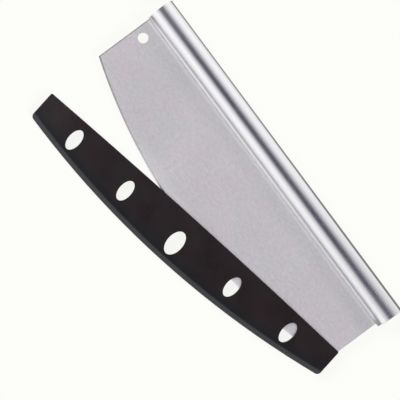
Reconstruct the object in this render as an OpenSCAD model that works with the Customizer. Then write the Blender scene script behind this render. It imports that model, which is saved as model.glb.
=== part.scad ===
// Rocking pizza knife: a sheet steel blade with a long curved cutting edge, gripped by
// the lips of a folded tube handle, and a moulded channel that covers the edge.
//
// Every module is drawn in the knife's own frame: X along the handle from the toe (the
// end with the hanging hole) to the heel, Y towards the handle's back, Z square to the
// blade, and the origin in the middle of the tube. on_table() then leans the whole knife
// the way it lies down, on the tube and on the ridge of the swung cover's bevel.

/* [Handle] */
// Length of the folded tube
tube_len = 355; // [250:1:420]
// Outer diameter of the tube
tube_d = 23.4; // [18:0.1:30]
// Thickness of the tube's sheet
sheet_t = 1; // [0.8:0.1:1.4]
// How far the gripping lips reach past the round of the tube
lip_reach = 3.1; // [2.5:0.1:8]
// Inside radius of the bend between the tube and each lip
lip_bend_r = 0.6; // [0.4:0.1:1]
// Radius on the outer edge of each lip
lip_edge_r = 0.8; // [0.3:0.1:0.9]
// How far the heel's end cap stands past the tube
heel_cap_rise = 0.9; // [0.1:0.1:3]
// How far the toe's end cap stands past the tube
toe_cap_rise = 0.2; // [0.1:0.1:3]
// Radius round the face of each end cap
cap_edge_r = 0.9; // [0.3:0.1:1.1]
// Length of each end cap's skirt inside the tube
cap_skirt = 1; // [0.8:0.1:1.1]
// Thickness of the end caps
cap_t = 0.8; // [0.5:0.1:1]

/* [Blade] */
// Length of the blade along the handle
blade_len = 350.4; // [240:0.1:415]
// How far the blade sits off the handle's middle, towards the toe
blade_offset = 1.2; // [0:0.1:2]
// Thickness of the blade
blade_t = 1.2; // [0.8:0.1:1.6]
// Radius of the cutting edge
edge_r = 551.5; // [400:0.5:800]
// From the tube's axis to the lowest point of the cutting edge
edge_drop = 101.7; // [85:0.5:120]
// Width of the ground bevel on each side of the edge
bevel_w = 1.6; // [0.8:0.1:5]
// Thickness left at the edge
edge_t = 0.15; // [0.1:0.01:0.3]
// Radius of the two corners where the edge meets the blade's ends
blade_corner_r = 1; // [0.5:0.1:4]
// How far the blade's top edge stands inside the tube's wall
blade_tuck = 2.5; // [1:0.1:6]

/* [Hanging hole] */
// Diameter of the hanging hole
hang_d = 10; // [6:0.5:14]
// From the toe end of the blade to the hole's centre
hang_inset = 10.9; // [9:0.1:25]
// From the tube's axis to the hole's centre
hang_drop = 30.1; // [26:0.1:40]

/* [Blade cover] */
// Length of the cover
cover_len = 356.6; // [250:0.1:420]
// How far the cover sits off the handle's middle, towards the toe
cover_offset = 0.5; // [0:0.1:1]
// Thickness of the cover over both walls
cover_t = 6.4; // [5:0.1:9]
// Width of the slot that takes the blade
slot_w = 1.8; // [1.4:0.1:2.2]
// From the line between the mouth's corners to the middle of the curved back edge
cover_depth = 46.7; // [40:0.1:60]
// Radius of the curved back edge
cover_back_r = 895.2; // [600:0.1:1200]
// Height by which the mouth bows up in the middle
mouth_bow = 2; // [0.5:0.1:4]
// Material between the slot and the curved back edge
cover_floor = 2.5; // [2:0.1:4]
// Width of the bevel along the curved back edge
back_bevel_w = 4.4; // [3:0.1:5]
// Radius of the round between the two bevels
back_nose_r = 1.2; // [0.8:0.1:1.4]
// Radius of the two corners of the curved back edge
back_corner_r = 4.4; // [1:0.1:5]
// Radius of the two corners of the mouth
mouth_corner_r = 1.3; // [0.8:0.1:3]
// Chamfer on the cover's other outside edges and on the slot's mouth
cover_chamfer = 0.4; // [0.2:0.1:0.6]
// Gap between the cutting edge and the slot's floor with the cover fully on
seat_gap = 1.1; // [0.5:0.1:4]
// Angle by which the cover is swung off the blade as the knife lies here
cover_swing = 11.3; // [8:0.1:11.4]

/* [Cover windows] */
// Distance between window centres along the cover
window_pitch = 66.3; // [45:0.1:75]
// How far the row of windows sits off the cover's middle, towards the toe
window_offset = 1.4; // [0:0.1:3]
// Length of the middle window, across the cover
mid_window_len = 25.2; // [15:0.1:30]
// Width of the middle window, along the cover
mid_window_w = 15.1; // [8:0.1:20]
// Length of the other windows, across the cover
side_window_len = 21.7; // [12:0.1:24]
// Width of the other windows, along the cover
side_window_w = 12.2; // [6:0.1:18]
// Depth of the middle window's centre below the mouth's corners
mid_window_depth = 26.6; // [20:0.1:28]
// Depth of the next two windows' centres
inner_window_depth = 21.4; // [16:0.1:25]
// Depth of the outermost two windows' centres
outer_window_depth = 18.1; // [14:0.1:20]

/* [Hidden] */
$fn = 256;
over = 1; // how far a cutting shape runs past what it cuts

// Handle
tube_r = tube_d / 2;
bore_r = tube_r - sheet_t;
lip_outer_z = blade_t / 2 + sheet_t;
bend_z = lip_outer_z + lip_bend_r;
bend_y = -sqrt(pow(tube_r + lip_bend_r, 2) - pow(bend_z, 2));
lip_end_y = -tube_r - lip_reach;

// Blade
edge_centre_y = edge_r - edge_drop;
blade_end_x = blade_len / 2;
heel_x = blade_end_x - blade_offset;
heel_y = edge_centre_y - sqrt(pow(edge_r, 2) - pow(blade_end_x, 2));

// Cover, in its own frame: origin midway between the mouth's corners, Y towards the mouth
cover_end_x = cover_len / 2;
face_z = cover_t / 2;
back_centre_y = cover_back_r - cover_depth;
slot_r = cover_back_r - cover_floor;
mouth_rise = cover_depth;
mouth_half_w = cover_end_x / sqrt(1 - pow(1 - mouth_bow / mouth_rise, 2));
seated_y = -edge_drop - seat_gap + cover_depth - cover_floor;

// Radii, about the centre of the curved back edge, of the ridge where each bevel starts,
// of the middle of the round between the bevels, and of where the round starts
ridge_r = cover_back_r - back_bevel_w;
nose_r = cover_back_r - back_nose_r;
bevel_angle = atan2(face_z, nose_r - ridge_r) - asin(back_nose_r / norm([face_z, nose_r - ridge_r]));
nose_start = [nose_r + back_nose_r * sin(bevel_angle), back_nose_r * cos(bevel_angle)];

// How the knife lies: the tube and the ridge of the cover's bevel both touch the table
back_centre = about_heel([-cover_offset, seated_y + back_centre_y], cover_swing);
ridge_y = back_centre[1] - ridge_r;
lie_angle = asin(tube_r / norm([ridge_y, face_z])) - atan(face_z / -ridge_y);
heel_round = about_heel(
    round_centre(cover_end_x, back_centre_y, cover_back_r, back_corner_r)
        + [-cover_offset, seated_y],
    cover_swing);
x_min = -tube_len / 2 - toe_cap_rise;
x_max = max(tube_len / 2 + heel_cap_rise, heel_round[0] + back_corner_r);
y_min = (back_centre[1] - nose_r) * cos(lie_angle) - back_nose_r;
row_centre = [(x_min + x_max) / 2, (y_min + tube_r) / 2];

// A point of the knife's frame, turned about the blade's heel corner
function about_heel(p, angle) =
    let (dx = p[0] - heel_x, dy = p[1] - heel_y)
    [heel_x + dx * cos(angle) - dy * sin(angle), heel_y + dx * sin(angle) + dy * cos(angle)];

// Centre of a round of radius r between a straight end, whose outward side is +X, and a
// large arc about (0, arc_y)
function round_centre(end_x, arc_y, arc_r, r) =
    [end_x - r, arc_y - sqrt(pow(arc_r - r, 2) - pow(end_x - r, 2))];

// Stands the leaned knife on the table with its box centred on the origin
module on_table() {
    translate([-row_centre[0], -row_centre[1], tube_r])
        rotate([lie_angle, 0, 0])
            children();
}

// Sector that holds a corner about the centre of its round of radius r; start and end are
// the outward directions of the two sides
module corner_sector(start, end, r) {
    reach = 3 * r;
    polygon([[0, 0], start * reach, (start + end) * reach, end * reach]);
}

// ---- Blade ----

module blade_outline() {
    top_y = -bore_r + blade_tuck;
    difference() {
        intersection() {
            translate([0, edge_centre_y]) circle(edge_r);
            translate([-blade_end_x, -edge_drop - over])
                square([blade_len, edge_drop + over + top_y]);
        }
        blade_corner_waste();
        mirror([1, 0]) blade_corner_waste();
    }
}

module blade_corner_waste() {
    arc_centre = [0, edge_centre_y];
    centre = round_centre(blade_end_x, edge_centre_y, edge_r, blade_corner_r);
    translate(centre)
        difference() {
            corner_sector(
                [1, 0], (centre - arc_centre) / norm(centre - arc_centre), blade_corner_r);
            circle(blade_corner_r);
        }
}

// A disc whose rim is ground from both sides, so that its rim is the cutting edge
module ground_disc() {
    flat_r = edge_r - bevel_w;
    rotate_extrude()
        polygon([
            [0, -blade_t / 2], [flat_r, -blade_t / 2], [edge_r, -edge_t / 2],
            [edge_r, edge_t / 2], [flat_r, blade_t / 2], [0, blade_t / 2]
        ]);
}

module blade() {
    color("#bcb8be")
        on_table()
            translate([-blade_offset, 0, 0])
                difference() {
                    intersection() {
                        translate([0, 0, -blade_t])
                            linear_extrude(2 * blade_t) blade_outline();
                        translate([0, edge_centre_y, 0]) ground_disc();
                    }
                    translate([hang_inset - blade_end_x, -hang_drop, -blade_t])
                        cylinder(h = 2 * blade_t, d = hang_d);
                }
}

// ---- Handle ----

// Section of the folded tube, with the blade's plane along its first axis
module tube_section() {
    difference() {
        union() {
            circle(tube_r);
            difference() {
                lips_block(lip_end_y, lip_outer_z, lip_bend_r);
                for (side = [0, 1])
                    mirror([0, side])
                        translate([lip_end_y, lip_outer_z]) mirror([1, 0]) edge_waste(lip_edge_r);
            }
        }
        circle(bore_r);
        lips_block(lip_end_y - over, blade_t / 2, lip_bend_r + sheet_t);
    }
}

// What rounds off a square corner at the origin that points towards +X and +Y
module edge_waste(r) {
    translate([-r, -r])
        difference() {
            square(r + over);
            circle(r);
        }
}

// Bar of half thickness half_z that runs out of the tube and flares into it round the bends
module lips_block(end_y, half_z, bend_r) {
    translate([end_y, -half_z]) square([-end_y, 2 * half_z]);
    difference() {
        polygon([[0, 0], [bend_y, bend_z], [bend_y, -bend_z]]);
        for (side = [-1, 1]) translate([bend_y, side * bend_z]) circle(bend_r);
    }
}

module handle_tube() {
    color("#d9d9de")
        on_table()
            translate([-tube_len / 2, 0, 0])
                rotate([90, 0, 90])
                    linear_extrude(tube_len) tube_section();
}

// Pressed cup that closes one end of the tube; it opens towards -X, and the tube ends at x = 0
module end_cap(rise) {
    rotate([0, 90, 0])
        rotate_extrude()
            difference() {
                translate([0, -cap_skirt]) square([bore_r, cap_skirt + rise]);
                translate([bore_r, rise]) edge_waste(cap_edge_r);
                translate([0, -cap_skirt - over])
                    square([bore_r - cap_t, cap_skirt + over + rise - cap_t]);
            }
}

module heel_end_cap() {
    color("#d9d9de")
        on_table() translate([tube_len / 2, 0, 0]) end_cap(heel_cap_rise);
}

module toe_end_cap() {
    color("#d9d9de")
        on_table() mirror([1, 0, 0]) translate([tube_len / 2, 0, 0]) end_cap(toe_cap_rise);
}

// ---- Blade cover ----

// Everything within the curved back edge, which is bevelled on both faces to a round
module cover_back() {
    translate([0, back_centre_y, 0])
        rotate_extrude() {
            polygon([
                [0, -face_z], [ridge_r, -face_z], [nose_start[0], -nose_start[1]],
                nose_start, [ridge_r, face_z], [0, face_z]
            ]);
            translate([nose_r, 0]) circle(back_nose_r);
        }
}

// Everything below the bowed mouth: a wide oval disc whose top is the mouth. rim gives
// the profile of its rim as [depth below the mouth, z] points, lowest z first.
module below_mouth(rim) {
    low_z = rim[0][1];
    high_z = rim[len(rim) - 1][1];
    translate([0, mouth_bow - mouth_rise, 0])
        scale([mouth_half_w / mouth_rise, 1, 1])
            rotate_extrude()
                polygon(concat(
                    [[0, low_z]], [for (p = rim) [mouth_rise - p[0], p[1]]], [[0, high_z]]));
}

// Profile of an outside edge of the cover, chamfered on both faces
function outside_rim() =
    let (z = face_z, c = cover_chamfer)
    [[c + over, -z - over], [0, c - z], [0, z - c], [c + over, z + over]];

// Profile that is narrowest at the slot and widens from there to the mouth, so that
// what it leaves of a slab is the slot's lead-in
function lead_in_rim() =
    let (z = slot_w / 2, c = cover_chamfer)
    [[-over, -z - c - over], [c, -z], [c, z], [-over, z + c + over]];

// Everything between the two ends, whose edges are chamfered
module between_ends() {
    heel_end = [for (p = outside_rim()) [cover_end_x - p[0], p[1]]];
    toe_end = [for (i = [len(heel_end) - 1:-1:0]) [-heel_end[i][0], heel_end[i][1]]];
    translate([0, mouth_bow + over, 0])
        rotate([90, 0, 0])
            linear_extrude(cover_depth + mouth_bow + 2 * over)
                polygon(concat(heel_end, toe_end));
}

// Slot for the blade: open along the mouth and at both ends, with an arc for a floor
module slot() {
    translate([0, back_centre_y, 0])
        rotate_extrude() translate([0, -slot_w / 2]) square([slot_r, slot_w]);
    difference() {
        flare = slot_w + 2 * cover_chamfer + over;
        translate([-cover_len, -cover_depth, -flare / 2])
            cube([2 * cover_len, cover_depth + mouth_bow + over, flare]);
        below_mouth(lead_in_rim());
    }
}

// What rounds off a corner of the cover about the centre of its round, with the same
// chamfer on both faces as the edges that it joins
module cover_corner_waste(start, end, r) {
    rim_z = face_z - cover_chamfer;
    difference() {
        translate([0, 0, -cover_t]) linear_extrude(2 * cover_t) corner_sector(start, end, r);
        rotate_extrude() polygon([[0, -rim_z - r], [r, -rim_z], [r, rim_z], [0, rim_z + r]]);
    }
}

// The wastes of the two corners at the heel end
module end_corner_wastes() {
    back_round = round_centre(cover_end_x, back_centre_y, cover_back_r, back_corner_r);
    outward = back_round - [0, back_centre_y];
    translate(back_round)
        cover_corner_waste([1, 0], outward / norm(outward), back_corner_r);

    mouth_x = cover_end_x - mouth_corner_r;
    across = sqrt(1 - pow(mouth_x / mouth_half_w, 2));
    slope = atan(mouth_rise * mouth_x / (pow(mouth_half_w, 2) * across));
    translate([mouth_x, mouth_bow - mouth_rise * (1 - across) - mouth_corner_r / cos(slope)])
        cover_corner_waste([1, 0], [sin(slope), cos(slope)], mouth_corner_r);
}

// Oval window through both walls
module window(length, width, depth) {
    translate([0, -depth, -cover_t])
        linear_extrude(2 * cover_t) scale([width / length, 1]) circle(d = length);
}

module windows() {
    translate([-window_offset, 0]) {
        window(mid_window_len, mid_window_w, mid_window_depth);
        for (side = [-1, 1]) {
            translate([side * window_pitch, 0])
                window(side_window_len, side_window_w, inner_window_depth);
            translate([side * 2 * window_pitch, 0])
                window(side_window_len, side_window_w, outer_window_depth);
        }
    }
}

// Moves the cover from its own frame to the blade, fully on and then swung off about the heel
module on_blade() {
    translate([heel_x, heel_y, 0])
        rotate([0, 0, cover_swing])
            translate([-heel_x - cover_offset, seated_y - heel_y, 0])
                children();
}

module blade_cover() {
    color("#2a2628")
        on_table()
            on_blade()
                difference() {
                    intersection() {
                        cover_back();
                        below_mouth(outside_rim());
                        between_ends();
                    }
                    slot();
                    windows();
                    end_corner_wastes();
                    mirror([1, 0, 0]) end_corner_wastes();
                }
}

blade();
handle_tube();
toe_end_cap();
heel_end_cap();
blade_cover();
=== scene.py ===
"""Looks of a rocking pizza knife: satin steel blade, polished folded tube handle and a moulded
black cover over the cutting edge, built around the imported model."""

import math

import bmesh
import bpy
from bpy.props import FloatProperty, FloatVectorProperty, PointerProperty
from mathutils import Matrix, Vector

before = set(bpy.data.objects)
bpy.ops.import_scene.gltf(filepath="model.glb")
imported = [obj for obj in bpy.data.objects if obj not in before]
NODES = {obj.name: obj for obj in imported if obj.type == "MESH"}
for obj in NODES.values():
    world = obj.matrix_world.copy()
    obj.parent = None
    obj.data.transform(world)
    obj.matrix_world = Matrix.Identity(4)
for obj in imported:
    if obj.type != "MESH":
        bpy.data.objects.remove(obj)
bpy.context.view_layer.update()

bl_info = {
    "name": "Rocking pizza knife",
    "version": (1, 0, 0),
    "blender": (4, 5, 0),
    "location": "View3D > Sidebar > Pizza knife",
    "description": "Finishes and lights a rocking pizza knife around its packed model",
    "category": "Object",
}

MM = 0.001


def stretch(start, end, origin=0.0):
    """Two places in metres, given in millimetres from origin."""
    return origin + start * MM, origin + end * MM


# ---- The knife ----

# The knife's own frame: X along the handle from toe to heel, Y towards the handle's back,
# Z square to the blade, origin in the middle of the tube. Sizes follow the part's source.
LEAN = math.radians(3.21136)
KNIFE_ORIGIN = Vector((-1.09723, 72.1397, 11.7)) * MM
KNIFE = Matrix.Translation(KNIFE_ORIGIN) @ Matrix.Rotation(LEAN, 4, "X")

TUBE_R = 11.7 * MM
# Where the tube turns into the lips, and the lips' outer edge
CREASE_Y = -11.9 * MM
LIP_EDGE_Y = -14.8 * MM

# The cutting edge is an arc about EDGE_CENTRE
EDGE_R = 551.5 * MM
EDGE_CENTRE = Vector((-1.2, 449.8, 0.0)) * MM
BEVEL_W = 1.6 * MM
BLADE_ENDS = stretch(-176.4, 174.0)
HANGING_HOLE = Vector((-165.5, -30.1, 0.0)) * MM
HANGING_HOLE_R = 5.0 * MM

# About where the swung cover ends along the knife, and its curved back, which is an arc about
# COVER_BACK_CENTRE
COVER_ENDS = stretch(-173.0, 184.0)
COVER_BACK_R = 895.2 * MM
COVER_BACK_CENTRE = Vector((-166.225, 738.977, 0.0)) * MM


# ---- Finish of the blade ----

# Noise cells per metre along, across and through the blade
BLADE_PATCH_CELLS = (32.0, 40.0, 5.0)
BLADE_CLOUD_CELLS = (21.0, 30.0, 5.0)
BLADE_GRAIN_CELLS = (260.0, 420.0, 10.0)
BRUSHED_CELLS = (30.0, 2600.0, 10.0)
# The same for the strokes of the ground edge, along it and square to it
STROKE_CELLS = (2600.0, 90.0, 1.0)

# How much each noise changes the tone
BLADE_CLOUD_CONTRAST = 0.07
BLADE_GRAIN_CONTRAST = 0.4
BRUSHED_CONTRAST = 0.16
STROKE_CONTRAST = 0.35

# The steel is a little mauve, and a little green in patches, more of them near its borders
MAUVE_CAST = Vector((1.008, 0.995, 1.004))
GREEN_CAST = Vector((0.985, 1.006, 0.994))
GREEN_PATCHES = (0.42, 0.62)
GREEN_BORDERS = 0.12

# Across the blade: beside the lips, and towards the cutting edge
BESIDE_LIPS = stretch(-22.0, -8.0, LIP_EDGE_Y)
BESIDE_EDGE = stretch(-14.0, -4.0, EDGE_R)
# Painted shade beside the lips
BESIDE_LIPS_SHADE = 0.05

# Painted light along the blade: its paler middle, paler still beside the edge, and its paler heel
MIDDLE_START = stretch(-125.0, -50.0)
MIDDLE_END = stretch(80.0, 160.0)
MIDDLE_GAIN = 0.08
MIDDLE_EDGE_GAIN = 0.1
BLADE_HEEL = stretch(100.0, 165.0)
BLADE_HEEL_GAIN = 0.06
BLADE_HEEL_LIPS_SHADE = 0.07

# Painted highlight: the bright line beside the lips, with a painted shadow line between them, for
# which the fall is past 1
LIP_SIDE_HIGHLIGHT_START = stretch(-4.5, -1.5, LIP_EDGE_Y)
LIP_SIDE_HIGHLIGHT_END = stretch(-1.0, -0.2, LIP_EDGE_Y)
LIP_SIDE_HIGHLIGHT_FALL = 1.2
LIP_SIDE_HIGHLIGHT_GAIN = 0.2
# Away from the toe it is weaker
LIP_SIDE_HIGHLIGHT_OFF_TOE = stretch(-165.0, -60.0)
LIP_SIDE_HIGHLIGHT_OFF_TOE_LOSS = 0.05

# The ground edge, with painted shade that makes it darker towards the toe
GROUND_START = stretch(-0.1, 0.1, EDGE_R - BEVEL_W)
GROUND_TOE = stretch(-200.0, 60.0)
GROUND_TOE_SHADE = 0.6

# Painted shade along the cut ends and round the rim of the hanging hole
TOE_CUT = stretch(0.7, 1.6, BLADE_ENDS[0])
HEEL_CUT = stretch(-0.7, -0.2, BLADE_ENDS[1])
HOLE_RIM = stretch(0.1, 0.5, HANGING_HOLE_R)
TOE_CUT_SHADE = 0.4
HEEL_CUT_SHADE = 0.12
HOLE_RIM_SHADE = 0.2

BRUSHED_ROUGHNESS = 0.14
GROUND_ROUGHNESS = 0.06
BLADE_RELIEF = 0.005 * MM
# Tint of what the blade reflects at a grazing angle
BLADE_GRAZING_TINT = (0.6, 0.6, 0.61)


# ---- Finish of the handle and its caps ----

# Noise cells per metre along the tube and square to it
DRAWN_CELLS = (9.0, 2600.0, 2600.0)
TUBE_CLOUD_CELLS = (14.0, 60.0, 60.0)
DRAWN_CONTRAST = 0.14
TUBE_CLOUD_CONTRAST = 0.05

# From the lips to the tube, and from the corner between them, paler with a painted highlight, to
# the polished round
LIPS_TO_TUBE = stretch(-0.2, 0.2, CREASE_Y)
CORNER_TO_ROUND = stretch(-9.2, -6.5)
CORNER_HIGHLIGHT_COLOUR = (0.99, 0.98, 1.0)
# The lips' colour against the tube's, paler as a painted highlight, and the roughness of lips and
# corner
LIP_HIGHLIGHT_GAIN = 1.1
LIP_ROUGHNESS = 0.5

# Where the handle's looks change towards its toe and its heel, and at their very tips
HANDLE_TOE = stretch(-165.0, -95.0)
HANDLE_HEEL = stretch(20.0, 90.0)
TOE_TIP = stretch(-176.0, -160.0)
HEEL_TIP = stretch(166.0, 175.0)

# The painted shadow in the crease: its full shade reaches CREASE_CORE from its middle and ends at
# CREASE_REACH.
# At the toe it lies nearer to the lips' edge, is wider and, at the tip, darker.
CREASE_CORE = 0.2 * MM
CREASE_REACH = 0.9 * MM
CREASE_TOE_SHIFT = 0.5 * MM
CREASE_TOE_GROWTH = 0.4 * MM
CREASE_SHADE = 0.22
CREASE_TIP_SHADE = 0.12

# Painted shade on the tube just above the crease, paler at the toe and darker at the heel
HOLLOW = stretch(0.0, 3.0, CREASE_Y)
HOLLOW_SHADE = 0.1
HOLLOW_ENDS_SHADE = 0.04

# Painted shade along the lips' outer edge, and how much darker painted shade makes the lips at the
# heel and at both tips
LIP_EDGE = stretch(0.2, 0.8, LIP_EDGE_Y)
LIP_EDGE_SHADE = 0.2
LIP_HEEL_SHADE = 0.08
LIP_HEEL_TIP_SHADE = 0.46
LIP_TOE_TIP_SHADE = 0.23

# Painted shade: the dark line along the tube's back, which creeps in from toe to heel
BACK_LINE = stretch(9.9, 10.8)
BACK_LINE_CREEP = stretch(-100.0, 150.0)
BACK_LINE_SHIFT = 0.9 * MM
BACK_LINE_SHADE = 0.72

# Shading alone makes the bend above the crease look softer than the solid's
BEND_W = 4.0 * MM
BEND_RISE = 0.9 * MM

DRAWN_ROUGHNESS = 0.08
TUBE_CLOUD_ROUGHNESS = 0.04
DRAWN_RELIEF = 0.002 * MM
# Tint of what tube and caps reflect at a grazing angle
HANDLE_GRAZING_TINT = (0.5, 0.5, 0.52)

# Turned marks of the caps: cells per metre of radius and per radian of turn
TURNED_CELLS = (2200.0, 1.0, 1.0)
TURNED_CONTRAST = 0.2
TURNED_ROUGHNESS = 0.12
TURNED_RELIEF = 0.004 * MM
# How much rougher the caps are than the tube
CAP_ROUGHNESS_GAIN = 0.06


# ---- Finish of the cover ----

# Noise cells per metre along, across and through the cover
COVER_GRAIN_CELLS = (2400.0, 2400.0, 2400.0)
COVER_CLOUD_CELLS = (35.0, 35.0, 35.0)
COVER_PATCH_CELLS = (45.0, 45.0, 45.0)
SCUFF_CELLS = (70.0, 900.0, 70.0)
COVER_GRAIN_CONTRAST = 0.3
COVER_CLOUD_CONTRAST = 0.4

# The face takes on the faded colour half by patches and half towards the toe
FADED_COLOUR = (0.0084, 0.0066, 0.0069)
FADED_PATCHES = (0.4, 0.6)
PATCH_FADING = 0.5
TOE_FADING = 0.5

# Painted light: how much paler the cover gets towards the toe, and over its toe end
COVER_TOE_PAINTED_LIGHT = 0.5
COVER_TOE_END = stretch(0.0, 55.0, COVER_ENDS[0])
COVER_TOE_END_PAINTED_LIGHT = 0.75

# In from the curved back: the bevel, painted paler as a sheen, and where the edge colour turns into
# the face's
COVER_BEVEL = stretch(3.8, 5.8)
BEVEL_SHEEN_COLOUR = (0.028, 0.029, 0.032)
COVER_FACE = stretch(6.0, 15.0)

SCUFFED = (0.6, 0.8)
SCUFF_ROUGHNESS = 0.08
COVER_CLOUD_ROUGHNESS = 0.12
COVER_GRAIN_ROUGHNESS = 0.1
COVER_RELIEF = 0.02 * MM
PLASTIC_IOR = 1.46


# ---- Stage ----

# Half the floor's side in metres, its colour, and the even glow laid over it: how far the glow
# covers the lit floor for the camera, and how far in reflections
FLOOR_REACH = 5.0
FLOOR_COLOUR = (0.9, 0.9, 0.885)
FLOOR_GLOW = (0.988, 0.988, 0.957)
GLOW_SEEN = 0.89
GLOW_REFLECTED = 0.5

# The painted studio, which steel reflects, is bright at the sides and dark overhead, where the
# camera stands. Its white, its level at the toe's side and how much less it is at the heel's:
STUDIO_WHITE = (0.985, 0.985, 0.99)
STUDIO_LEVEL = 1.1
STUDIO_HEEL_LOSS = 0.28
# What the dark part still gives
DARK_GLOW = (0.0, 0.0, 0.03)
# Strength of the plain white that lights matt surfaces
MATT_LIGHT = 0.3

# The studio is graded about this bearing from straight up; below 0 is the blade's side
STUDIO_TURN = math.radians(-7.5)

# The dark band overhead. Its place and widths are measured across the tube, about where a
# camera overhead sees it: middle, reach towards the lips and reach towards the back
BAND_Y = -0.2 * MM
BAND_LIP_REACH = 3.1 * MM
BAND_BACK_REACH = 3.75 * MM
# Where the second reach takes over from the first
BAND_SIDES = stretch(-0.1, 0.1, BAND_Y)
# How much further it reaches at the back towards the heel, and on both sides away from the
# middle of the knife
BAND_HEEL_GROWTH = 1.3 * MM
BAND_OUTER_GROWTH = 0.4 * MM
# How dark it is over the middle of the knife, against 1 further out, and how steep its flanks are
BAND_MIDDLE_DEPTH = 0.93
BAND_STEEPNESS = 2.4

# Brighter part of the studio low on the lips' side
LOW_GLOW = stretch(-8.5, -5.5)
LOW_GLOW_GAIN = 0.3

# Parts of the unit vector towards the studio. Along the knife: where the level falls towards
# the heel, where the middle of the band ends, where the band ends, and where the soft boxes
# start and end. Across the knife: where they end sideways.
STUDIO_HEEL = (-0.02, 0.12)
BAND_MIDDLE = (0.0, 0.08)
BAND_END = (0.165, 0.275)
BOX_START = (0.15, 0.27)
BOX_END = (0.4, 0.6)
BOX_SIDE = (0.3, 0.75)
BOX_GAIN = 0.58

# The two area lamps: places in metres, and shares of the lamp power
SOFT_BOXES = {
    "key_soft_box": ((-2.3, -0.3, 1.9), 1.0),
    "fill_soft_box": ((2.3, 0.3, 1.9), 0.9),
}
SOFT_BOX_SIDE = 1.8

# The photograph looks square onto the blade: the width that it takes in there, the place at
# its centre in the knife's own frame, and how far it is turned
VIEW_WIDTH = 369.2 * MM
VIEW_CENTRE = (-14.23 * MM, -77.19 * MM)
VIEW_TURN = math.radians(53.38)
# Width of the camera's sensor in millimetres, as Blender counts it
SENSOR_WIDTH = 36.0


# ---- Shader building ----

class Signal:
    """One output of a shader node. Arithmetic on it adds Math nodes."""

    def __init__(self, look, socket):
        self.look = look
        self.socket = socket

    def _math(self, operation, *operands):
        return self.look.node(
            "ShaderNodeMath", {"operation": operation}, dict(enumerate(operands)))

    def __add__(self, other):
        return self._math("ADD", self, other)

    def __sub__(self, other):
        return self._math("SUBTRACT", self, other)

    def __rsub__(self, other):
        return self._math("SUBTRACT", other, self)

    def __mul__(self, other):
        return self._math("MULTIPLY", self, other)

    def __truediv__(self, other):
        return self._math("DIVIDE", self, other)

    def __rtruediv__(self, other):
        return self._math("DIVIDE", other, self)

    def __pow__(self, other):
        return self._math("POWER", self, other)

    def __rpow__(self, other):
        return self._math("POWER", other, self)

    def __neg__(self):
        return self._math("MULTIPLY", self, -1.0)

    __radd__ = __add__
    __rmul__ = __mul__


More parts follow.
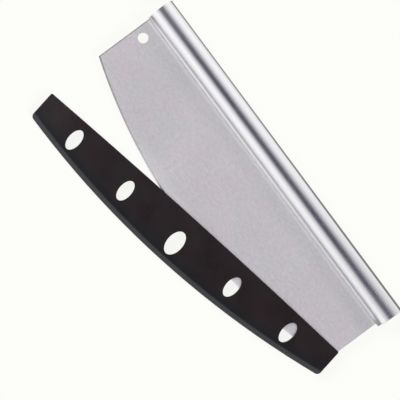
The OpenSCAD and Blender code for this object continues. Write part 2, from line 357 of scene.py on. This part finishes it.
class Look:
    """The node tree of a material or of the world, put together node by node."""

    def __init__(self, owner):
        self.owner = owner
        owner.use_nodes = True
        self.tree = owner.node_tree
        self.tree.nodes.clear()

    def node(self, kind, settings=None, values=None, output=0):
        """Adds a node: its settings first, then the values or links of its sockets."""
        made = self.tree.nodes.new(kind)
        for name, value in (settings or {}).items():
            setattr(made, name, value)
        for name, value in (values or {}).items():
            if isinstance(value, Signal):
                self.tree.links.new(value.socket, made.inputs[name])
            else:
                made.inputs[name].default_value = value
        return Signal(self, made.outputs[output]) if made.outputs else None

    def smooth(self, value, low, high):
        """0 at low and 1 at high, with a smooth step between them."""
        return self.node(
            "ShaderNodeMapRange", {"interpolation_type": "SMOOTHSTEP"},
            {"Value": value, "From Min": low, "From Max": high})

    def fade(self, value, low, high):
        """1 at low and 0 at high, with a smooth step between them."""
        return 1 - self.smooth(value, low, high)

    def bell(self, value, steepness):
        """1 at 0, falling off on both sides, faster on its flanks the steeper it is."""
        return self.node(
            "ShaderNodeMath", {"operation": "EXPONENT"}, {0: -(self.size(value) ** steepness)})

    def tint(self, mask, first, second):
        """A colour that goes from first to second as mask goes from 0 to 1."""
        return self.node(
            "ShaderNodeMix", {"data_type": "RGBA"}, {0: mask, 6: first, 7: second}, output=2)

    def scaled(self, colour, factor):
        """A colour times a number."""
        return self.node(
            "ShaderNodeVectorMath", {"operation": "SCALE"}, {0: colour, "Scale": factor})

    def shade(self, colour, change):
        """A colour made lighter by the share change, or darker where it is below 0."""
        return self.scaled(colour, change + 1)

    def noise(self, place, cells, detail=2.0, roughness=0.5):
        """Noise with the given number of cells per metre along each axis."""
        place = self.node("ShaderNodeVectorMath", {"operation": "MULTIPLY"}, {0: place, 1: cells})
        return self.node(
            "ShaderNodeTexNoise", {},
            {"Vector": place, "Scale": 1.0, "Detail": detail, "Roughness": roughness})

    def vary(self, noise, amount):
        """A noise, which runs from 0 to 1, as a change about 0 that spans amount."""
        return (noise - 0.5) * amount

    def joined(self, x=0.0, y=0.0, z=0.0):
        """A vector from its three parts."""
        return self.node("ShaderNodeCombineXYZ", {}, {0: x, 1: y, 2: z})

    def parts(self, vector):
        """The three parts of a vector."""
        split = self.node("ShaderNodeSeparateXYZ", {}, {"Vector": vector})
        outputs = split.socket.node.outputs
        return [Signal(self, outputs[i]) for i in range(3)]

    def distance(self, place, centre=(0.0, 0.0, 0.0)):
        """How far place is from centre."""
        return self.node(
            "ShaderNodeVectorMath", {"operation": "DISTANCE"}, {0: place, 1: centre}, output=1)

    def bearing(self, x, y):
        """Angle of the direction (x, y) from the direction (0, 1)."""
        return self.node("ShaderNodeMath", {"operation": "ARCTAN2"}, {0: x, 1: y})

    def sine(self, angle):
        return self.node("ShaderNodeMath", {"operation": "SINE"}, {0: angle})

    def size(self, value):
        return self.node("ShaderNodeMath", {"operation": "ABSOLUTE"}, {0: value})

    def knife_place(self):
        """Place on the knife, in its own frame and in metres."""
        place = self.node("ShaderNodeTexCoord", output="Object")
        return self.node(
            "ShaderNodeMapping", {"vector_type": "TEXTURE"},
            {"Vector": place, "Location": KNIFE_ORIGIN, "Rotation": (LEAN, 0.0, 0.0)})

    def bump(self, height):
        """A normal tilted as on a surface that rises by height metres."""
        return self.node("ShaderNodeBump", {}, {"Height": height, "Distance": 1.0, "Strength": 1.0})

    def ray_mask(self, camera, glossy):
        """camera for rays from the camera, glossy for reflected ones and 0 for the others."""
        path = self.node("ShaderNodeLightPath", output="Is Camera Ray")
        reflected = Signal(self, path.socket.node.outputs["Is Glossy Ray"])
        return path * camera + reflected * glossy

    def surface(self, constants, varying):
        """Ends a material in one Principled shader."""
        shader = self.node("ShaderNodeBsdfPrincipled", {}, {**constants, **varying})
        self.node("ShaderNodeOutputMaterial", {}, {"Surface": shader})


def new_material(name):
    return Look(bpy.data.materials.new(name))


def dress(node, look):
    """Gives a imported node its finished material."""
    NODES[node].data.materials[0] = look.owner


def solid(colour):
    """A colour as the four numbers of a colour socket."""
    return (*colour, 1.0)


# ---- Settings ----

class PizzaKnifeBlade(bpy.types.PropertyGroup):
    """Finish of the blade"""

    colour: FloatVectorProperty(
        name="Steel colour", description="Colour of the satin steel", subtype="COLOR",
        size=3, min=0.0, max=1.0, default=(0.855, 0.81, 0.838))
    roughness: FloatProperty(
        name="Roughness", description="Roughness of the satin finish",
        default=0.4, min=0.1, max=1.0, subtype="FACTOR")


class PizzaKnifeHandle(bpy.types.PropertyGroup):
    """Finish of the folded tube and its end caps"""

    colour: FloatVectorProperty(
        name="Steel colour", description="Colour of the polished steel", subtype="COLOR",
        size=3, min=0.0, max=1.0, default=(0.87, 0.865, 0.89))
    roughness: FloatProperty(
        name="Roughness", description="Roughness of the polished tube",
        default=0.2, min=0.05, max=1.0, subtype="FACTOR")


class PizzaKnifeCover(bpy.types.PropertyGroup):
    """Finish of the moulded cover"""

    colour: FloatVectorProperty(
        name="Plastic colour", description="Colour of the moulded plastic", subtype="COLOR",
        size=3, min=0.0, max=1.0, default=(0.0098, 0.0045, 0.0058))
    edge_colour: FloatVectorProperty(
        name="Edge colour", description="Colour of the plastic along the curved back edge",
        subtype="COLOR", size=3, min=0.0, max=1.0, default=(0.0045, 0.0050, 0.0064))
    roughness: FloatProperty(
        name="Roughness", description="Roughness of the moulded surface",
        default=0.3, min=0.1, max=1.0, subtype="FACTOR")


class PizzaKnifeStage(bpy.types.PropertyGroup):
    """Camera and light"""

    camera_distance: FloatProperty(
        name="Camera distance", description="From the blade to the camera",
        default=1.9, min=0.5, max=4.0, unit="LENGTH")
    lamp_power: FloatProperty(
        name="Lamp power", description="Power of the main soft box",
        default=60.0, min=0.0, max=500.0, unit="POWER")


# ---- Operators ----

class PIZZAKNIFE_OT_blade(bpy.types.Operator):
    """Gives the blade its satin finish and its ground edge"""

    bl_idname = "pizza_knife.blade"
    bl_label = "Finish the blade"

    def execute(self, context):
        settings = context.scene.pizza_knife_blade
        look = new_material("satin_blade_steel")
        place = look.knife_place()
        along, across, _ = look.parts(place)
        radius = look.distance(place, EDGE_CENTRE)
        by_lips = look.smooth(across, *BESIDE_LIPS)
        by_edge = look.smooth(radius, *BESIDE_EDGE)
        brushed = look.noise(place, BRUSHED_CELLS, detail=3.0, roughness=0.6)
        colour = self.satin(look, place, by_lips + by_edge, brushed, Vector(settings.colour))
        # Painted light and shade over the blade
        colour = look.shade(colour, self.painted_light(look, along, across, by_lips, by_edge))

        ground = look.smooth(radius, *GROUND_START)
        along_edge = look.bearing(along - EDGE_CENTRE.x, EDGE_CENTRE.y - across) * EDGE_R
        strokes = look.noise(look.joined(along_edge, radius), STROKE_CELLS, detail=2.0)
        # Grinding strokes on the ground edge, and painted shade towards the toe
        colour = look.shade(colour, ground * (look.vary(strokes, STROKE_CONTRAST)
                                           - look.fade(along, *GROUND_TOE) * GROUND_TOE_SHADE))
        # Painted shade along the cut ends and round the hanging hole
        colour = look.shade(colour, -self.cut_shade(look, place, along))

        rough = (settings.roughness + look.vary(brushed, BRUSHED_ROUGHNESS)
                 + ground * GROUND_ROUGHNESS)
        relief = (brushed * (1 - ground) + strokes * ground) * BLADE_RELIEF
        look.surface({"Metallic": 1.0, "Specular Tint": solid(BLADE_GRAZING_TINT)},
                  {"Base Color": colour, "Roughness": rough, "Normal": look.bump(relief)})
        dress("blade", look)
        return {"FINISHED"}

    @staticmethod
    def satin(look, place, borders, brushed, base):
        """Mauve and green steel with the tones of its satin finish."""
        patches = look.noise(place, BLADE_PATCH_CELLS, detail=3.0, roughness=0.6)
        clouds = look.noise(place, BLADE_CLOUD_CELLS, detail=1.0)
        grain = look.noise(place, BLADE_GRAIN_CELLS, detail=3.0, roughness=0.75)
        colour = look.tint(look.smooth(patches + borders * GREEN_BORDERS, *GREEN_PATCHES),
                        solid(base * MAUVE_CAST), solid(base * GREEN_CAST))
        return look.shade(colour, look.vary(clouds, BLADE_CLOUD_CONTRAST)
                       + look.vary(grain, BLADE_GRAIN_CONTRAST)
                       + look.vary(brushed, BRUSHED_CONTRAST))

    @staticmethod
    def painted_light(look, along, across, by_lips, by_edge):
        """Painted light and shade: how much paler the blade is from place to place."""
        middle = look.smooth(along, *MIDDLE_START) * look.fade(along, *MIDDLE_END)
        heel = look.smooth(along, *BLADE_HEEL)
        # Painted highlight beside the lips, and a painted shadow line at their edge
        lip_side_highlight = look.smooth(across, *LIP_SIDE_HIGHLIGHT_START) - look.smooth(across, *LIP_SIDE_HIGHLIGHT_END) * LIP_SIDE_HIGHLIGHT_FALL
        off_toe = look.smooth(along, *LIP_SIDE_HIGHLIGHT_OFF_TOE)
        return (middle * (by_edge * MIDDLE_EDGE_GAIN + MIDDLE_GAIN)
                - by_lips * BESIDE_LIPS_SHADE
                + heel * (BLADE_HEEL_GAIN - by_lips * BLADE_HEEL_LIPS_SHADE)
                + lip_side_highlight * (LIP_SIDE_HIGHLIGHT_GAIN - off_toe * LIP_SIDE_HIGHLIGHT_OFF_TOE_LOSS))

    @staticmethod
    def cut_shade(look, place, along):
        """How much darker painted shade makes the cut ends and the rim of the hanging hole."""
        toe = look.fade(along, *TOE_CUT)
        heel = look.smooth(along, *HEEL_CUT)
        rim = look.fade(look.distance(place, HANGING_HOLE), *HOLE_RIM)
        return toe * TOE_CUT_SHADE + heel * HEEL_CUT_SHADE + rim * HOLE_RIM_SHADE


class PIZZAKNIFE_OT_handle(bpy.types.Operator):
    """Gives the folded tube its drawn and polished finish"""

    bl_idname = "pizza_knife.handle"
    bl_label = "Finish the handle"

    def execute(self, context):
        settings = context.scene.pizza_knife_handle
        look = new_material("polished_tube_steel")
        place = look.knife_place()
        along, across, _ = look.parts(place)
        base = Vector(settings.colour)
        drawn = look.noise(place, DRAWN_CELLS, detail=3.0, roughness=0.6)
        clouds = look.noise(place, TUBE_CLOUD_CELLS, detail=2.0)
        on_tube = look.smooth(across, *LIPS_TO_TUBE)
        polished = look.smooth(across, *CORNER_TO_ROUND)
        # Lips and corner are painted paler as highlights
        tube_colour = look.tint(polished, solid(CORNER_HIGHLIGHT_COLOUR), solid(base))
        colour = look.tint(on_tube, solid(base * LIP_HIGHLIGHT_GAIN), tube_colour)
        colour = look.shade(colour, look.vary(drawn, DRAWN_CONTRAST)
                         + look.vary(clouds, TUBE_CLOUD_CONTRAST))
        # Painted shadows along the handle
        for shadow in self.shadows(look, along, across, on_tube):
            colour = look.shade(colour, -shadow)

        rough = (LIP_ROUGHNESS - polished * (LIP_ROUGHNESS - settings.roughness)
                 + look.vary(drawn, DRAWN_ROUGHNESS) + look.vary(clouds, TUBE_CLOUD_ROUGHNESS))
        bend = on_tube * look.fade(across, CREASE_Y, CREASE_Y + BEND_W)
        relief = bend * BEND_RISE + drawn * DRAWN_RELIEF
        look.surface({"Metallic": 1.0, "Specular Tint": solid(HANDLE_GRAZING_TINT)},
                  {"Base Color": colour, "Roughness": rough, "Normal": look.bump(relief)})
        dress("handle_tube", look)
        return {"FINISHED"}

    @staticmethod
    def shadows(look, along, across, on_tube):
        """How much darker painted shadows make the lines along the handle, the hollow above the
        crease and the ends of the lips."""
        toe = look.fade(along, *HANDLE_TOE)
        heel = look.smooth(along, *HANDLE_HEEL)
        toe_tip = look.fade(along, *TOE_TIP)
        heel_tip = look.smooth(along, *HEEL_TIP)
        crease = look.fade(look.size(across - CREASE_Y + toe * CREASE_TOE_SHIFT),
                        CREASE_CORE, toe * CREASE_TOE_GROWTH + CREASE_REACH)
        lip_edge = look.fade(across, *LIP_EDGE)
        back_line = look.smooth(
            across + look.smooth(along, *BACK_LINE_CREEP) * BACK_LINE_SHIFT, *BACK_LINE)
        hollow = on_tube * look.fade(across, *HOLLOW)
        lines = (crease * (toe_tip * CREASE_TIP_SHADE + CREASE_SHADE)
                 + lip_edge * LIP_EDGE_SHADE + back_line * BACK_LINE_SHADE)
        hollow_shade = hollow * ((heel - toe) * HOLLOW_ENDS_SHADE + HOLLOW_SHADE)
        lip_shade = (1 - on_tube) * (heel * LIP_HEEL_SHADE + heel_tip * LIP_HEEL_TIP_SHADE
                                     + toe_tip * LIP_TOE_TIP_SHADE)
        return lines, hollow_shade, lip_shade


class PIZZAKNIFE_OT_end_caps(bpy.types.Operator):
    """Gives the two end caps their turned finish"""

    bl_idname = "pizza_knife.end_caps"
    bl_label = "Finish the end caps"

    def execute(self, context):
        settings = context.scene.pizza_knife_handle
        look = new_material("turned_cap_steel")
        _, across, up = look.parts(look.knife_place())
        radius = look.distance(look.joined(0.0, across, up))
        turned = look.noise(look.joined(radius, look.bearing(across, up)), TURNED_CELLS, detail=3.0)
        colour = look.shade(Vector(settings.colour), look.vary(turned, TURNED_CONTRAST))
        rough = settings.roughness + CAP_ROUGHNESS_GAIN + look.vary(turned, TURNED_ROUGHNESS)
        look.surface({"Metallic": 1.0, "Specular Tint": solid(HANDLE_GRAZING_TINT)},
                  {"Base Color": colour, "Roughness": rough,
                   "Normal": look.bump(turned * TURNED_RELIEF)})
        for node in ("toe_end_cap", "heel_end_cap"):
            dress(node, look)
        return {"FINISHED"}


class PIZZAKNIFE_OT_cover(bpy.types.Operator):
    """Gives the cover its moulded grain"""

    bl_idname = "pizza_knife.cover"
    bl_label = "Finish the blade cover"

    def execute(self, context):
        settings = context.scene.pizza_knife_cover
        look = new_material("moulded_black_plastic")
        place = look.knife_place()
        along, _, _ = look.parts(place)
        from_back = COVER_BACK_R - look.distance(place, COVER_BACK_CENTRE)
        grain = look.noise(place, COVER_GRAIN_CELLS, detail=2.0)
        clouds = look.noise(place, COVER_CLOUD_CELLS, detail=3.0)
        patches = look.noise(place, COVER_PATCH_CELLS, detail=2.0)
        scuffs = look.noise(place, SCUFF_CELLS, detail=4.0, roughness=0.7)
        toe = look.fade(along, *COVER_ENDS)
        toe_end = look.fade(along, *COVER_TOE_END)

        faded = look.smooth(patches, *FADED_PATCHES) * PATCH_FADING + toe * TOE_FADING
        face = look.tint(faded, solid(settings.colour), solid(FADED_COLOUR))
        colour = look.tint(look.smooth(from_back, *COVER_FACE), solid(settings.edge_colour), face)
        # Painted light, paler towards the toe and over its toe end
        colour = look.shade(colour, toe * COVER_TOE_PAINTED_LIGHT + toe_end * COVER_TOE_END_PAINTED_LIGHT)
        # Painted sheen on the bevel along the curved back
        colour = look.tint(look.fade(from_back, *COVER_BEVEL), colour, solid(BEVEL_SHEEN_COLOUR))
        colour = look.shade(colour, look.vary(clouds, COVER_CLOUD_CONTRAST)
                         + look.vary(grain, COVER_GRAIN_CONTRAST))
        rough = (settings.roughness + look.vary(clouds, COVER_CLOUD_ROUGHNESS)
                 + look.smooth(scuffs, *SCUFFED) * SCUFF_ROUGHNESS
                 + look.vary(grain, COVER_GRAIN_ROUGHNESS))
        look.surface({"Metallic": 0.0, "IOR": PLASTIC_IOR},
                  {"Base Color": colour, "Roughness": rough,
                   "Normal": look.bump(grain * COVER_RELIEF)})
        dress("blade_cover", look)
        return {"FINISHED"}


class PIZZAKNIFE_OT_stage(bpy.types.Operator):
    """Lays the floor and sets the lights and the camera"""

    bl_idname = "pizza_knife.stage"
    bl_label = "Set the stage"

    def execute(self, context):
        scene = context.scene
        settings = scene.pizza_knife_stage
        self.floor(scene)
        self.world(scene)
        self.lamps(scene, settings)
        self.camera(scene, settings)
        scene.view_settings.view_transform = "Standard"
        return {"FINISHED"}

    @staticmethod
    def floor(scene):
        """A flat pale floor that the knife lies on."""
        mesh = bpy.data.meshes.new("floor")
        bm = bmesh.new()
        bmesh.ops.create_grid(bm, x_segments=1, y_segments=1, size=FLOOR_REACH)
        bm.to_mesh(mesh)
        bm.free()
        floor = bpy.data.objects.new("floor", mesh)
        scene.collection.objects.link(floor)
        look = new_material("pale_floor")
        diffuse = look.node("ShaderNodeBsdfDiffuse", {}, {"Color": solid(FLOOR_COLOUR)})
        glow = look.node("ShaderNodeEmission", {}, {"Color": solid(FLOOR_GLOW)})
        mix = look.node("ShaderNodeMixShader", {},
                     {"Fac": look.ray_mask(GLOW_SEEN, GLOW_REFLECTED), 1: diffuse, 2: glow})
        look.node("ShaderNodeOutputMaterial", {}, {"Surface": mix})
        mesh.materials.append(look.owner)

    def world(self, scene):
        """Plain white for the camera, the painted studio for reflections, and an even white
        that lights matt surfaces."""
        scene.world = bpy.data.worlds.new("studio")
        look = Look(scene.world)
        white = solid(STUDIO_WHITE)
        seen = look.tint(look.ray_mask(camera=1.0, glossy=0.0), self.painted_studio(look), white)
        seen = look.node("ShaderNodeBackground", {}, {"Color": seen})
        lit = look.node("ShaderNodeBackground", {},
                     {"Color": (1.0, 1.0, 1.0, 1.0), "Strength": MATT_LIGHT})
        mix = look.node("ShaderNodeMixShader", {},
                     {"Fac": look.ray_mask(camera=1.0, glossy=1.0), 1: lit, 2: seen})
        look.node("ShaderNodeOutputWorld", {}, {"Surface": mix})

    @staticmethod
    def painted_studio(look):
        """Colour of the studio in each direction: bright sides, a dark band overhead and two
        soft boxes, one towards each end of the knife."""
        along, across, up = look.parts(look.node("ShaderNodeTexCoord", output="Generated"))
        aside = look.size(along)
        heel = look.smooth(along, *STUDIO_HEEL)
        # A reflection turns twice as far as the surface does
        shown_at = look.sine((look.bearing(across, up) - STUDIO_TURN) / 2) * TUBE_R

        outer = look.smooth(aside, *BAND_MIDDLE)
        back_growth = BAND_BACK_REACH - BAND_LIP_REACH + heel * BAND_HEEL_GROWTH
        reach = (look.smooth(shown_at, *BAND_SIDES) * back_growth
                 + outer * BAND_OUTER_GROWTH + BAND_LIP_REACH)
        dark = (look.bell((shown_at - BAND_Y) / reach, BAND_STEEPNESS)
                * look.fade(aside, *BAND_END)
                * (outer * (1 - BAND_MIDDLE_DEPTH) + BAND_MIDDLE_DEPTH))
        low = look.fade(shown_at, *LOW_GLOW)
        boxes = (look.smooth(aside, *BOX_START) * look.fade(aside, *BOX_END)
                 * look.fade(look.size(across), *BOX_SIDE))
        level = ((1 - dark + low * LOW_GLOW_GAIN + boxes * BOX_GAIN)
                 * (STUDIO_LEVEL - heel * STUDIO_HEEL_LOSS))
        return look.node("ShaderNodeVectorMath", {"operation": "ADD"},
                      {0: look.scaled(STUDIO_WHITE, level), 1: look.scaled(DARK_GLOW, dark)})

    @staticmethod
    def lamps(scene, settings):
        """Two area lamps for the matt surfaces. They stay out of reflections, because steel
        reflects the painted studio."""
        for name, (place, share) in SOFT_BOXES.items():
            light = bpy.data.lights.new(name, "AREA")
            light.shape = "SQUARE"
            light.size = SOFT_BOX_SIDE
            light.energy = settings.lamp_power * share
            lamp = bpy.data.objects.new(name, light)
            scene.collection.objects.link(lamp)
            lamp.visible_glossy = False
            place = Vector(place)
            lamp.matrix_world = (
                Matrix.Translation(place) @ place.to_track_quat("Z", "Y").to_matrix().to_4x4())

    @staticmethod
    def camera(scene, settings):
        """A camera where the photograph was taken from, square onto the blade."""
        data = bpy.data.cameras.new("camera")
        data.sensor_width = SENSOR_WIDTH
        data.lens = SENSOR_WIDTH * settings.camera_distance / VIEW_WIDTH
        camera = bpy.data.objects.new("camera", data)
        scene.collection.objects.link(camera)
        camera.matrix_world = (
            KNIFE @ Matrix.Translation((*VIEW_CENTRE, settings.camera_distance))
            @ Matrix.Rotation(VIEW_TURN, 4, "Z"))
        scene.camera = camera


STEPS = (
    (PIZZAKNIFE_OT_blade, "pizza_knife_blade"),
    (PIZZAKNIFE_OT_handle, "pizza_knife_handle"),
    (PIZZAKNIFE_OT_end_caps, "pizza_knife_handle"),
    (PIZZAKNIFE_OT_cover, "pizza_knife_cover"),
    (PIZZAKNIFE_OT_stage, "pizza_knife_stage"),
)
GROUPS = {
    "pizza_knife_blade": PizzaKnifeBlade,
    "pizza_knife_handle": PizzaKnifeHandle,
    "pizza_knife_cover": PizzaKnifeCover,
    "pizza_knife_stage": PizzaKnifeStage,
}


class PIZZAKNIFE_PT_sidebar(bpy.types.Panel):
    """Sizes, colours and steps of the pizza knife"""

    bl_label = "Pizza knife"
    bl_space_type = "VIEW_3D"
    bl_region_type = "UI"
    bl_category = "Pizza knife"

    def draw(self, context):
        for operator, settings in STEPS:
            box = self.layout.box()
            box.operator(operator.bl_idname)
            for name in GROUPS[settings].__annotations__:
                box.prop(getattr(context.scene, settings), name)


CLASSES = (*GROUPS.values(), *(operator for operator, _ in STEPS), PIZZAKNIFE_PT_sidebar)


def register():
    for cls in CLASSES:
        bpy.utils.register_class(cls)
    for name, group in GROUPS.items():
        setattr(bpy.types.Scene, name, PointerProperty(type=group))


def unregister():
    for name in GROUPS:
        delattr(bpy.types.Scene, name)
    for cls in reversed(CLASSES):
        bpy.utils.unregister_class(cls)


def main():
    register()
    bpy.ops.pizza_knife.blade()
    bpy.ops.pizza_knife.handle()
    bpy.ops.pizza_knife.end_caps()
    bpy.ops.pizza_knife.cover()
    bpy.ops.pizza_knife.stage()


if __name__ == "__main__":
    main()
